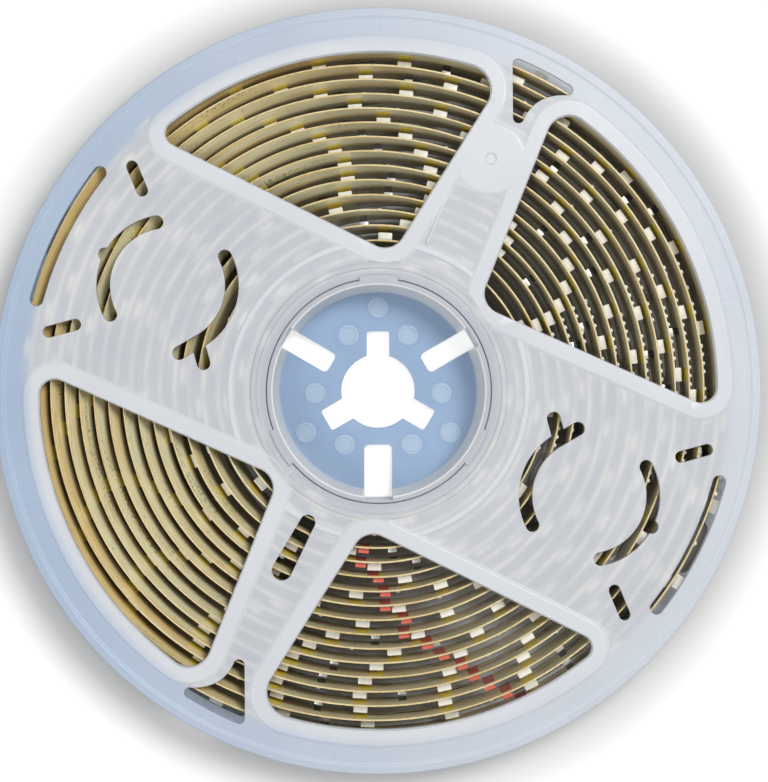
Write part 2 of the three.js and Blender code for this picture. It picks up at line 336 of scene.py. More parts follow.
def swelling(outlines, base, plate, top, spread=0.45):
    """Solids that rise from a plate in a soft S-shaped slope."""
    foot = plate - FOOT_SINK
    profile = [(spread, base)]
    for i in range(SLOPE_STEPS + 1):
        t = i / SLOPE_STEPS
        profile.append((spread * (1 - 2 * t), foot + (top - plate + FOOT_SINK) * t * t * (3 - 2 * t)))
    return lofts("swelling", outlines, profile)


def sinker(outlines, base, bottom, edge=0.3):
    """The same as a riser, for the underside of a plate."""
    profile = [(edge * (math.cos(a) - 1), bottom + edge - edge * math.sin(a)) for a in EDGE_ANGLES[::-1]]
    profile.append((0, base))
    return lofts("sinker", outlines, profile)


def lathe(name, profile):
    """Closed ring turned round the reel's axis from a closed (radius, level) outline."""
    bm = bmesh.new()
    rings = []
    for i in range(LATHE_STEPS):
        a = 2 * math.pi * i / LATHE_STEPS
        c, s = math.cos(a), math.sin(a)
        rings.append([bm.verts.new((r * c * MM, r * s * MM, z * MM)) for r, z in profile])
    size = len(profile)
    for i in range(LATHE_STEPS):
        here, there = rings[i], rings[(i + 1) % LATHE_STEPS]
        for k in range(size):
            n = (k + 1) % size
            bm.faces.new((here[k], there[k], there[n], here[n]))
    bmesh.ops.recalc_face_normals(bm, faces=bm.faces)
    mesh = bpy.data.meshes.new(name)
    bm.to_mesh(mesh)
    bm.free()
    return add_object(name, mesh)


def rounded(corners):
    """Closed outline in which each (x, y, radius) corner is rounded off."""
    points = []
    count = len(corners)
    for i, (x, y, radius) in enumerate(corners):
        here = Vector((x, y))
        if not radius:
            points.append((x, y))
            continue
        before = (Vector(corners[i - 1][:2]) - here).normalized()
        after = (Vector(corners[(i + 1) % count][:2]) - here).normalized()
        half = before.angle(after) / 2
        reach = radius / math.tan(half)
        centre = here + (before + after).normalized() * (radius / math.sin(half))
        a, b = here + before * reach - centre, here + after * reach - centre
        for k in range(CORNER_STEPS + 1):
            t = k / CORNER_STEPS
            d = (a * (1 - t) + b * t).normalized() * radius
            points.append(tuple(centre + d))
    return points


def combine(obj, other, operation):
    """Joins the other solid to an object or cuts it from it; the other is used up."""
    modifier = obj.modifiers.new("combine", "BOOLEAN")
    modifier.operation = operation
    modifier.solver = "MANIFOLD"
    modifier.object = other
    bpy.context.view_layer.update()
    graph = bpy.context.evaluated_depsgraph_get()
    mesh = bpy.data.meshes.new_from_object(obj.evaluated_get(graph))
    obj.modifiers.clear()
    old = obj.data
    obj.data = mesh
    bpy.data.meshes.remove(old)
    bpy.data.objects.remove(other)


def soften(obj):
    """Smooth shading that keeps wide faces flat."""
    obj.data.shade_smooth()
    obj.data.set_sharp_from_angle(angle=math.radians(FLANGE_SHARP))
    weighted = obj.modifiers.new("weighted", "WEIGHTED_NORMAL")
    weighted.keep_sharp = True
    return obj


# Materials
class Nodes:
    """A material and short calls that add nodes to it."""

    def __init__(self, name):
        self.material = bpy.data.materials.new(name)
        self.material.use_nodes = True
        self.tree = self.material.node_tree
        self.shader = self.tree.nodes["Principled BSDF"]

    def add(self, kind, **values):
        node = self.tree.nodes.new(kind)
        for key, value in values.items():
            if key.startswith("in_"):
                node.inputs[key[3:]].default_value = value
            else:
                setattr(node, key, value)
        return node

    def link(self, source, target):
        self.tree.links.new(source, target)

    def set(self, **values):
        for key, value in values.items():
            self.shader.inputs[key.replace("_", " ")].default_value = value

    def math(self, operation, a, b=None, c=None, clamp=False):
        node = self.add("ShaderNodeMath", operation=operation, use_clamp=clamp)
        for i, value in enumerate((a, b, c)):
            if value is None:
                continue
            if isinstance(value, (int, float)):
                node.inputs[i].default_value = value
            else:
                self.link(value, node.inputs[i])
        return node.outputs[0]

    def plus(self, a, b):
        return self.math("ADD", a, b)

    def minus(self, a, b, clamp=False):
        return self.math("SUBTRACT", a, b, clamp=clamp)

    def times(self, a, b, clamp=False):
        return self.math("MULTIPLY", a, b, clamp=clamp)

    def over(self, a, b, clamp=False):
        return self.math("DIVIDE", a, b, clamp=clamp)

    def line(self, value, slope, start, clamp=False):
        return self.math("MULTIPLY_ADD", value, slope, start, clamp=clamp)

    def above(self, value, level, slope):
        """Share that grows from 0 to 1 as the value passes a level."""
        return self.times(self.minus(value, level), slope, clamp=True)

    def below(self, value, level, slope):
        """Share that grows from 0 to 1 as the value falls under a level."""
        return self.times(self.minus(level, value), slope, clamp=True)

    def apart(self, vector):
        node = self.add("ShaderNodeSeparateXYZ")
        self.link(vector, node.inputs[0])
        return node.outputs

    def together(self, x, y):
        node = self.add("ShaderNodeCombineXYZ")
        self.link(x, node.inputs[0])
        self.link(y, node.inputs[1])
        return node.outputs[0]

    def own_place(self):
        return self.add("ShaderNodeTexCoord").outputs["Object"]

    def ramp(self, value, stops):
        node = self.add("ShaderNodeValToRGB")
        elements = node.color_ramp.elements
        while len(elements) < len(stops):
            elements.new(0.5)
        for element, (position, colour) in zip(elements, stops):
            element.position = position
            element.color = (*colour, 1)
        self.link(value, node.inputs[0])
        return node.outputs[0]

    def mix(self, factor, a, b, blend="MIX"):
        node = self.add("ShaderNodeMix", data_type="RGBA", blend_type=blend)
        for socket, value in ((node.inputs[0], factor), (node.inputs[6], a), (node.inputs[7], b)):
            if isinstance(value, (int, float)):
                socket.default_value = value
            elif isinstance(value, tuple):
                socket.default_value = (*value, 1)
            else:
                self.link(value, socket)
        return node.outputs[2]

    def tint(self, base, colour):
        return self.mix(1.0, base, colour, "MULTIPLY")

    def noise(self, vector, scale, detail):
        node = self.add("ShaderNodeTexNoise", in_Scale=scale, in_Detail=detail)
        self.link(vector, node.inputs["Vector"])
        return node.outputs[0]

    def bump(self, height, strength, distance):
        node = self.add("ShaderNodeBump", in_Strength=strength, in_Distance=distance)
        self.link(height, node.inputs["Height"])
        self.link(node.outputs[0], self.shader.inputs["Normal"])

    def attribute(self, name):
        return self.add("ShaderNodeAttribute", attribute_name=name).outputs["Fac"]

    def colour(self, socket):
        self.link(socket, self.shader.inputs["Base Color"])

    def rough(self, noise, swing, low):
        self.link(self.plus(self.times(noise, swing), low), self.shader.inputs["Roughness"])


def srgb(r, g, b):
    """Linear colour of an 8-bit display colour."""
    def one(v):
        v /= 255
        return v / 12.92 if v <= 0.04045 else ((v + 0.055) / 1.055) ** 2.4
    return (one(r), one(g), one(b))


BLACK = (0, 0, 0)
WHITE = (1, 1, 1)
# Rim colours: painted shade, blue-grey on the rim band and bluer towards -x.
RIM_PALE = srgb(226, 231, 239)
RIM_BLUE = srgb(186, 205, 229)
RIM_TONE_R = 68.5
# Pale spots painted where LEDs lie under the plastic: painted show-through.
SPOT_WHITE = srgb(250, 249, 246)
SPOT_REACH = 2.7
SPOT_SOFTNESS = 1.8
SPOT_OUT = 0.4


def turn_number(m, x, y, radius):
    """How many turns of the coil lie inside a point of the plastic."""
    turns = m.over(m.minus(radius, COIL_R), TURN_PITCH)
    part = m.over(m.minus(m.math("ARCTAN2", y, x), math.radians(INNER_ANGLE)), 2 * math.pi)
    return m.plus(turns, part)


def stripe_share(m, turn):
    """Wave that follows the turns, with its second harmonic, for the painted show-through of the turns."""
    wave = m.line(m.math("COSINE", m.times(turn, 2 * math.pi)), 0.35, 0.35)
    twice = m.line(m.math("COSINE", m.times(turn, 4 * math.pi)), 0.15, 0.15)
    return m.plus(wave, twice)


def spot_share(m, radius, turn):
    """Soft spots where LEDs lie under the plastic, for the painted show-through of the LEDs."""
    beyond = m.math("FRACT", turn)
    own_radius = m.minus(radius, m.times(beyond, TURN_PITCH))
    length = m.over(m.minus(m.times(own_radius, own_radius), COIL_R ** 2), 2 * GROWTH)
    from_led = m.math("PINGPONG", m.minus(length, FIRST_LED), LED_PITCH / 2)
    beside = m.math("ABSOLUTE", m.minus(beyond, SPOT_OUT))
    near = m.over(m.minus(SPOT_REACH, from_led), SPOT_SOFTNESS, clamp=True)
    return m.times(near, m.line(beside, -2.6, 1.0, clamp=True))


def plastic(name, light, dark, alpha, roughness, stripes=0.0):
    """Milky moulded polypropylene; stripes sets how strongly the turns and LEDs under it are painted in as
    show-through, softly.
    """
    m = Nodes(name)
    point = m.own_place()
    x, y, _ = m.apart(point)
    radius = m.times(m.math("SQRT", m.plus(m.times(x, x), m.times(y, y))), 1 / MM)
    turn = turn_number(m, x, y, radius)
    under = m.times(m.below(radius, OUTER_TURN_R + 0.24, 2.0), m.minus(radius, HUB_R, clamp=True))
    around = m.together(m.times(m.math("ARCTAN2", y, x), 5.0), turn)
    patch = m.ramp(m.noise(around, 1.1, 2), [(0.35, BLACK), (0.65, WHITE)])
    # Painted show-through: the turns under the plastic as soft stripes and the LEDs as pale spots.
    seen = m.times(m.times(stripe_share(m, turn), under), m.line(patch, 0.6, 0.4))
    spots = m.times(m.times(spot_share(m, radius, turn), under), m.line(patch, 0.5, 0.4))
    cloud = m.noise(point, 60, 4)
    flow = m.noise(point, 14, 2)
    # Painted shade: the rim band turns blue-grey, more so towards -x.
    bluer = m.line(x, -9.0, 0.3, clamp=True)
    face = m.mix(m.times(seen, stripes), dark, light)
    base = m.mix(m.above(radius, RIM_TONE_R, 0.45), face, m.mix(bluer, RIM_PALE, RIM_BLUE))
    base = m.mix(m.times(spots, stripes), base, SPOT_WHITE)
    shade = m.ramp(cloud, [(0.3, (0.955, 0.96, 0.965)), (0.7, WHITE)])
    tone = m.ramp(flow, [(0.35, (0.965, 0.97, 0.98)), (0.65, WHITE)])
    m.colour(m.tint(m.tint(base, shade), tone))
    m.rough(cloud, 0.16, roughness - 0.08)
    m.bump(m.plus(m.noise(point, 900, 2), m.times(flow, 3.0)), 0.25, 0.00012)
    m.set(Alpha=alpha, IOR=1.49)
    return m.material


def plain(name, colour, roughness, metallic=0.0, specks=0.06):
    """One colour with a light grain."""
    m = Nodes(name)
    cloud = m.noise(m.own_place(), 1500, 3)
    dark = tuple(c * (1 - specks * 2) for c in colour)
    m.colour(m.ramp(cloud, [(0.35, dark), (0.6, colour)]))
    m.rough(cloud, 0.2, roughness - 0.1)
    m.bump(cloud, 0.2, 0.00003)
    m.set(Metallic=metallic)
    return m.material


HUB_BLUE = srgb(164, 190, 222)
PAD_BLUE = srgb(188, 209, 233)
HUB_LIT_WHITE = srgb(250, 249, 246)
milky = plastic("milky_plastic", srgb(240, 239, 237), srgb(213, 216, 223), 0.82, 0.36, 1.0)
border = plastic("window_border", srgb(234, 236, 239), srgb(232, 234, 238), 0.92, 0.3)
web = plastic("hub_web", HUB_BLUE, HUB_BLUE, 0.85, 0.34)
pad_top = plastic("hub_pad", PAD_BLUE, PAD_BLUE, 0.85, 0.34)
# Painted light: near white and nearly opaque, as if lit through; worn by the hub's wall, the step up to the
# rim lip and the back flange's outer ring.
wall = plastic("hub_wall_painted_light", HUB_LIT_WHITE, HUB_LIT_WHITE, 0.95, 0.34)


# Flanges
def flange_cutters(spoke_end_slot, low, high):
    """Tools for the openings of a flange; outlines that overlap go into different tools."""
    centre = polar(CRESCENT_CENTRE_R, SPOKE)
    foot = along(centre, SPOKE + CRESCENT_INNER[0], CRESCENT_R)
    apart = [
        [window_outline(shape) for shape in WINDOWS] + [spoke_end_slot],
        [fork_outline()] + [straight_slot(a, b, SMALL_SLOT_R, SMALL_SLOT_R) for a, b in SMALL_SLOTS],
        [arc_slot(centre, CRESCENT_R, *[SPOKE + a for a in CRESCENT_OUTER], CRESCENT_WIDTH),
         arc_slot(centre, CRESCENT_R, *[SPOKE + a for a in CRESCENT_INNER], CRESCENT_WIDTH)],
        [circle(along(centre, SPOKE, CRESCENT_BUMP), LOBE_R),
         straight_slot(CRESCENT_LOBES[0], foot, LOBE_R, LOBE_R)],
        [straight_slot(CRESCENT_LOBES[1], foot, LOBE_R, LOBE_R)],
    ]
    groups = [both_ways(outlines) for outlines in apart]
    groups.append([straight_slot(*SPOKE_SLOT)])
    yield cutter(groups[0], low, high, 0.3)
    for outlines in groups[1:]:
        yield cutter(outlines, low, high, 0.15)


def front_flange():
    """Flange that snaps over the spigot, with raised borders, ridges, boss, rib, ticks and lip."""
    hole_r = SPIGOT_R + SPIGOT_CLEARANCE / 2
    corners = [
        (hole_r, FRONT_LOW, 0.1), (REEL_R - 0.1, FRONT_LOW, 0.1), (REEL_R, FRONT_LOW + 0.2, 0.1),
        (REEL_R, TOP, 0.35), (REEL_R - LIP + 0.2, TOP, 0.4), (REEL_R - LIP - 0.3, FRONT_HIGH, 0.5),
    ]
    half = RIDGE_WIDTH / 2
    for ridge in RIDGES[::-1]:
        corners += [(ridge + half + 0.3, FRONT_HIGH, 0), (ridge + half, TOP - 0.1, 0.3),
                    (ridge - half, TOP - 0.1, 0.3), (ridge - half - 0.3, FRONT_HIGH, 0)]
    profile = rounded(corners + [(hole_r, FRONT_HIGH, 0.25)])
    obj = lathe("front_flange_shell", profile)
    borders = both_ways([window_outline(shape, BORDER) for shape in WINDOWS])
    root = FRONT_HIGH - ROOT_DEPTH
    for border in borders:
        combine(obj, swelling([border], root, FRONT_HIGH, TOP), "UNION")
    combine(obj, swelling([circle(BOSS, BOSS_R)], root, FRONT_HIGH, TOP), "UNION")
    combine(obj, riser([straight_slot(*RIB, RIB_R, RIB_R)], root, TOP, 0.15), "UNION")
    ticks = [straight_slot(*[polar(r, a) for r in TICK_SPAN], TICK_R, TICK_R) for a in RIM_TICKS]
    combine(obj, riser(ticks, root, FRONT_HIGH + TICK_HEIGHT, 0.1), "UNION")
    radius, half_span, width = LONG_SLOT
    slot = arc_slot((0, 0), radius, SPOKE - half_span, SPOKE + half_span, width)
    for tool in flange_cutters(slot, FRONT_LOW, FRONT_HIGH):
        combine(obj, tool, "DIFFERENCE")
    windows = both_ways([window_outline(shape) for shape in WINDOWS])
    combine(obj, cutter(windows, FRONT_LOW, TOP, 0.35), "DIFFERENCE")
    funnel = [(0, TOP - DIMPLE_DEPTH), (DIMPLE_DEPTH, TOP), (DIMPLE_DEPTH, TOP + 1)]
    combine(obj, lofts("dimple", [circle(BOSS, DIMPLE_R)], funnel), "DIFFERENCE")
    return soften(obj)


def back_flange():
    """Flange with the hub: tube, spigot with hooks, web with pads, spindle hole and slots."""
    tube = rounded([
        (INSIDE_SPINDLE_R, BACK_LOW, 0), (REEL_R - LIP, BACK_LOW, 0.1), (REEL_R - LIP, 0, 0.3),
        (REEL_R, 0, 0.35), (REEL_R, BACK_HIGH - 0.2, 0.1), (REEL_R - 0.1, BACK_HIGH, 0.1),
        (HUB_R, BACK_HIGH, 0.2), (HUB_R, FRONT_LOW, 0.15), (SPIGOT_R, FRONT_LOW, 0.1),
        (SPIGOT_R, TOP, 0.3), (BORE_MOUTH_R, TOP, 0.3), (BORE_FLOOR_R, BACK_HIGH, 0.3),
        (INSIDE_SPINDLE_R, BACK_HIGH, 0),
    ])
    obj = lathe("back_flange_shell", tube)
    for shape in both_ways([window_outline(shape, BORDER) for shape in WINDOWS]):
        combine(obj, sinker([shape], BACK_LOW + ROOT_DEPTH, 0), "UNION")
    half = RIDGE_WIDTH / 2
    for ridge in RIDGES:
        band = sinker([circle((0, 0), ridge + half)], BACK_LOW + ROOT_DEPTH, 0.1, 0.2)
        core = lofts("core", [circle((0, 0), ridge - half)], [(0, -1), (0, BACK_LOW + 2)])
        combine(band, core, "DIFFERENCE")
        combine(obj, band, "UNION")
    hooks = []
    for angle in KEYWAY_ANGLES:
        span = (angle - HOOK_SPAN / 2, angle + HOOK_SPAN / 2)
        hooks.append(arc((0, 0), SPIGOT_R + HOOK_REACH, *span) + arc((0, 0), SPIGOT_R - 0.35, *span[::-1]))
    nose = [(-0.25, FRONT_HIGH), (0, FRONT_HIGH + 0.12), (0, TOP - 0.15), (-0.15, TOP)]
    combine(obj, lofts("hooks", hooks, nose), "UNION")
    centres = [polar(OUTER_PAD_R, a) for a in KEYWAY_ANGLES]
    centres += [polar(INNER_PAD_R, a + s * INNER_PAD_SPREAD) for a in KEYWAY_ANGLES for s in (-1, 1)]
    high = BACK_HIGH + PAD_HEIGHT
    combine(obj, riser([circle(c, PAD_R) for c in centres], BACK_LOW + ROOT_DEPTH, high, 0.12), "UNION")
    combine(obj, lofts("dish", [circle(c, PAD_R - PAD_RIM) for c in centres],
                       [(-0.1, high - 0.12), (0, high), (0, high + 1)]), "DIFFERENCE")
    inside, outside = WITNESS_RING
    for c in centres:
        groove = lofts("groove", [circle(c, PAD_R + outside)],
                       [(-0.06, BACK_HIGH - WITNESS_DEPTH), (0, BACK_HIGH + 0.5)])
        core = lofts("core", [circle(c, PAD_R + inside)], [(0, 0), (0, TOP)])
        combine(groove, core, "DIFFERENCE")
        combine(obj, groove, "DIFFERENCE")
    radius, half_span, width = SHORT_SLOT
    slot = arc_slot((0, 0), radius, SPOKE - half_span, SPOKE + half_span, width)
    for tool in flange_cutters(slot, BACK_LOW, BACK_HIGH):
        combine(obj, tool, "DIFFERENCE")
    combine(obj, cutter([circle((0, 0), SPINDLE_R)], BACK_LOW, BACK_HIGH), "DIFFERENCE")
    half, corner = KEYWAY_WIDTH / 2, 0.5
    keyway = ([(0, half), (0, -half)] + arc((KEYWAY_REACH - corner, corner - half), corner, -90, 0)
              + arc((KEYWAY_REACH - corner, half - corner), corner, 0, 90))
    for angle in KEYWAY_ANGLES:
        combine(obj, cutter([turned(keyway, angle)], BACK_LOW, BACK_HIGH), "DIFFERENCE")
    end, corner = SPIGOT_R - HUB_SLOT_WALL, 0.9
    for angle, width in zip(HUB_SLOT_ANGLES, HUB_SLOT_WIDTHS):
        half = width / 2
        slot = ([(end, -half), (end, half)] + arc((HUB_SLOT_START + corner, half - corner), corner, 90, 180)
                + arc((HUB_SLOT_START + corner, corner - half), corner, 180, 270))
        combine(obj, lofts("slot", [turned(slot, angle)], [(0, -1), (0, TOP + 1)]), "DIFFERENCE")
    return soften(obj)


def wear(obj, materials, choose):
    """Gives each face the material that choose picks from its centre's radius and level."""
    obj.data.materials.clear()
    for material in materials:
        obj.data.materials.append(material)
    centres = np.empty(len(obj.data.polygons) * 3)
    obj.data.polygons.foreach_get("center", centres)
    x, y, z = centres.reshape(-1, 3).T / MM
    obj.data.polygons.foreach_set("material_index", choose(np.hypot(x, y), z).astype(int))
    return obj


def front_kind(r, z):
    """0 for plain plastic, 1 for raised borders and boss, 2 for the step up to the rim lip, drawn in lit
    white as a painted highlight.
    """
    plate = z < FRONT_HIGH + 0.02
    hub_side = r < RIDGES[0] + 1
    raised = r < REEL_R - LIP - 0.6
    # Painted highlight: the step up to the rim lip takes the lit white.
    step = np.abs(r - REEL_R + LIP) < 0.4
    return np.select([plate, hub_side, raised, step], [0, 0, 1, 2], 0)


def back_kind(r, z):
    """0 for plain plastic, 1 for the hub's web, 2 for the cup's walls and the outer ring, both drawn in lit
    white as painted light, 3 for the tops of the pads.
    """
    outer = r > REEL_R - 12
    tube = r > BORE_MOUTH_R + 0.45
    cup_wall = z > BACK_HIGH + PAD_HEIGHT + 0.05
    pad = z > BACK_HIGH + 0.05
    return np.select([outer, tube, cup_wall, pad], [2 * (z > BACK_LOW + 0.3), 0, 2, 3], 1)


front = wear(front_flange(), [milky, border, wall], front_kind)
back = wear(back_flange(), [milky, web, wall, pad_top], back_kind)


# Strip
def smoothstep(x, low, high):
    t = np.clip((x - low) / (high - low), 0, 1)
    return t * t * (3 - 2 * t)


def coil(length):
    """Radius and azimuth in degrees of the strip's middle surface."""
    radius = np.sqrt(COIL_R ** 2 + 2 * GROWTH * length)
    return radius, INNER_ANGLE - np.degrees((radius - COIL_R) / GROWTH)


def lean(length):
    """Angle in radians by which the strip's upper edge leans outwards."""
    radius, angle = coil(length)
    from_slack = np.abs((angle - SLACK_MIDDLE + 180) % 360 - 180)
    slack = 1 - smoothstep(from_slack, SLACK_FULL, SLACK_WHOLE)
    free = smoothstep(radius, TILT_START_R, TILT_FULL_R)
    loose = smoothstep(length, STRIP_LENGTH - LOOSE_LENGTH, STRIP_LENGTH)
    return np.radians(free * (COIL_TILT + SLACK_TILT * slack + LOOSE_TILT * loose))


def place(length, out, up):
    """Point that lies out from the middle surface and up from the strip's middle line."""
    radius, angle = coil(length)
    tilt = lean(length)
    r = radius + out * np.cos(tilt) + up * np.sin(tilt)
    a = np.radians(angle)
    z = STRIP_MIDDLE + up * np.cos(tilt) - out * np.sin(tilt)
    return np.stack([r * np.cos(a), r * np.sin(a), z], -1) * MM


def frame_at(length):
    """Origin and the along, out and up directions of the strip at a length."""
    radius, angle = coil(length)
    tilt = lean(length)
    a = math.radians(angle)
    radial = Vector((math.cos(a), math.sin(a), 0))
    forward = Vector((math.sin(a), -math.cos(a), 0))
    rise = Vector((0, 0, 1))
    out = radial * math.cos(tilt) - rise * math.sin(tilt)
    up = radial * math.sin(tilt) + rise * math.cos(tilt)
    return Vector(place(np.float64(length), 0.0, 0.0)), forward, out, up


def mesh_from(name, verts, faces, indices, attributes=None):
    mesh = bpy.data.meshes.new(name)
    mesh.from_pydata(verts, [], faces)
    mesh.polygons.foreach_set("material_index", indices)
    for key, values in (attributes or {}).items():
        layer = mesh.attributes.new(key, "FLOAT", "POINT")
        layer.data.foreach_set("value", np.asarray(values, np.float32))
    mesh.update()
    return mesh


SURFACE = STRIP_THICK / 2
SECTION_ROWS = (-2.7, -1.3, 0, 1.3, 2.7)
SECTION_BEVEL = 0.05
UPPER_ROW = 0.2
STATION_STEP = 1.25
NEAR_LIMIT = 4
BEAD_SECTOR = (2, 22)
BEAD_STEP = 1.7
BEAD_SHARE = 0.8
BEAD_CLEAR = 2.2
RED_START = 237.0
RED_DRIFT = 0.855
RED_FIRST_R = 30
RED_CLEAR = 2.7
RED_SCATTER = 0.6

LEDS = np.arange(FIRST_LED, STRIP_LENGTH - LED_LENGTH / 2 - 0.1, LED_PITCH)
RESISTORS = LEDS[1::3] + LED_PITCH * 0.5
PADS = LEDS[2::3] + LED_PITCH * 0.5


def next_turn(length):
    """Length at which the following turn passes the same azimuth."""
    radius, _ = coil(length)
    return ((radius + TURN_PITCH) ** 2 - COIL_R ** 2) / (2 * GROWTH)


def nearest(stations, marks, limit):
    """Distance from each station to the nearest mark, up to a limit."""
    marks = np.sort(marks)
    at = np.clip(np.searchsorted(marks, stations), 1, len(marks) - 1)
    d = np.minimum(np.abs(stations - marks[at - 1]), np.abs(stations - marks[at]))
    return np.minimum(d, limit)


def red_marks():
    """Lengths of the red marks, painted reflections of a red object: one a turn, drifting round the coil.
    """
    marks = []
    stations = np.arange(0, STRIP_LENGTH, 0.5)
    radius, angle = coil(stations)
    offset = (angle - (RED_START + RED_DRIFT * radius) + 180) % 360 - 180
    for i in range(len(stations) - 1):
        if offset[i] > 0 >= offset[i + 1] and radius[i] > RED_FIRST_R:
            mark = stations[i] + rng.uniform(-RED_SCATTER, RED_SCATTER)
            led = LEDS[np.argmin(np.abs(LEDS - mark))]
            if abs(mark - led) < RED_CLEAR:
                mark = led + math.copysign(RED_CLEAR, mark - led)
            marks.append(mark)
    return np.array(marks)


def ribbon():
    """The wound board: LED side, edges and backing paper, with the values that colour them."""
    half, wide, c = SURFACE, STRIP_WIDTH / 2, SECTION_BEVEL
    rows = [-wide + c, *SECTION_ROWS, wide - UPPER_ROW, wide - c]
    section = [(half, up) for up in rows]
    section += [(half - c, wide), (-half + c, wide)]
    section += [(-half, up) for up in rows[::-1]]
    section += [(-half + c, -wide), (half - c, -wide)]
    kinds = [0] * (len(rows) - 2) + [1] * 5 + [2] * (len(rows) - 2) + [1] * 3
    count = int(STRIP_LENGTH / STATION_STEP)
    stations = np.linspace(0, STRIP_LENGTH, count)
    size = len(section)
    verts = np.stack([place(stations, out, up) for out, up in section], 1).reshape(-1, 3)
    faces, indices = [], []
    for i in range(count - 1):
        a, b = i * size, (i + 1) * size
        for k in range(size):
            n = (k + 1) % size
            faces.append((a + k, b + k, b + n, a + n))
            indices.append(kinds[k])
    faces.append(tuple(range(size)))
    faces.append(tuple(range((count - 1) * size, count * size))[::-1])
    indices += [1, 1]
    spread = {
        "along": stations,
        "led_inside": nearest(stations, next_turn(LEDS), NEAR_LIMIT),
        "resistor_inside": nearest(stations, next_turn(RESISTORS), NEAR_LIMIT),
        "red": nearest(stations, red_marks(), NEAR_LIMIT),
        "slack": lean(stations) / math.radians(COIL_TILT + SLACK_TILT),
    }
    attributes = {key: np.repeat(values, size) for key, values in spread.items()}
    attributes["up"] = np.tile([up for _, up in section], count)
    attributes["turn_radius"] = np.repeat(coil(stations)[0], size)
    mesh = mesh_from("strip_ribbon", verts.tolist(), faces, indices, attributes)
    bm = bmesh.new()
    bm.from_mesh(mesh)
    bmesh.ops.recalc_face_normals(bm, faces=bm.faces)
    bm.to_mesh(mesh)
    bm.free()
    obj = add_object("strip_ribbon", mesh)
    mesh.shade_smooth()
    mesh.set_sharp_from_angle(angle=math.radians(STRIP_SHARP))
    return obj


# Colours of the strip, and levels in millimetres above its middle line
# Paper colours from the lower edge up: the darker lowest stop is painted shade.
PAPER = [(0.0, srgb(204, 190, 140)), (0.12, srgb(255, 240, 190)), (0.6, srgb(255, 240, 188)),
         (0.72, srgb(255, 246, 200))]
PAPER_WARM = (1.0, 0.82, 0.6)
PAPER_STREAK = (0.6, 0.54, 0.4)
OUTER_WARM = (1.0, 0.83, 0.58)
OUTER_WARM_R = 60.0
SHADE_BROWN = srgb(44, 32, 20)
SHADE_TOP = 1.1
BROWN_REFLECTION = srgb(84, 52, 30)
BROWN_REFLECTION_TOP = 0.5
OLIVE_SHADE = srgb(96, 104, 52)
LED_REFLECTION_YELLOW = srgb(255, 232, 70)
LED_REFLECTION_TOP = 3.3
LED_REFLECTION_DROP = 1.8
LED_HALF = 1.5
CHIP_SHADE_BLACK = srgb(24, 20, 16)
CHIP_TOP = 0.8
CHIP_HALF = 0.9
RED_REFLECTION_TINT = srgb(240, 96, 74)
MARK_TOP = 3.2
MARK_HALF = 1.25
LAST_TURN_R = 67.8


def strip_vector(m, stretch, across):
    """Coordinates that follow the strip, for streaks along it."""
    return m.together(m.times(m.attribute("along"), stretch), m.times(m.attribute("up"), across))


def strip_noise(m, stretch, across, detail, scale=1.0):
    return m.noise(strip_vector(m, stretch, across), scale, detail)


def board_material():
    """LED side: pale on the outermost turn, with painted shade between the turns."""
    m = Nodes("board_white")
    fine = strip_noise(m, 0.6, 2.0, 3, 1.5)
    pale = m.ramp(fine, [(0.3, srgb(205, 198, 170)), (0.65, srgb(238, 233, 214))])
    # Painted shade: the LED side of the inner turns is drawn dark.
    painted_shade = m.ramp(fine, [(0.3, srgb(100, 92, 80)), (0.65, srgb(122, 114, 100))])
    m.colour(m.mix(m.above(m.attribute("turn_radius"), LAST_TURN_R, 3.0), painted_shade, pale))
    m.rough(fine, 0.2, 0.3)
    m.bump(fine, 0.2, 0.00005)
    return m.material


def edge_material():
    m = Nodes("edge_cream")
    slow = strip_noise(m, 0.03, 1.0, 3)
    fine = strip_noise(m, 0.8, 6.0, 3)
    base = m.ramp(slow, [(0.35, srgb(228, 200, 138)), (0.6, srgb(244, 226, 176))])
    m.colour(m.tint(base, m.ramp(fine, [(0.3, (0.8, 0.78, 0.7)), (0.55, WHITE)])))
    m.rough(fine, 0.3, 0.25)
    m.bump(fine, 0.3, 0.00006)
    return m.material


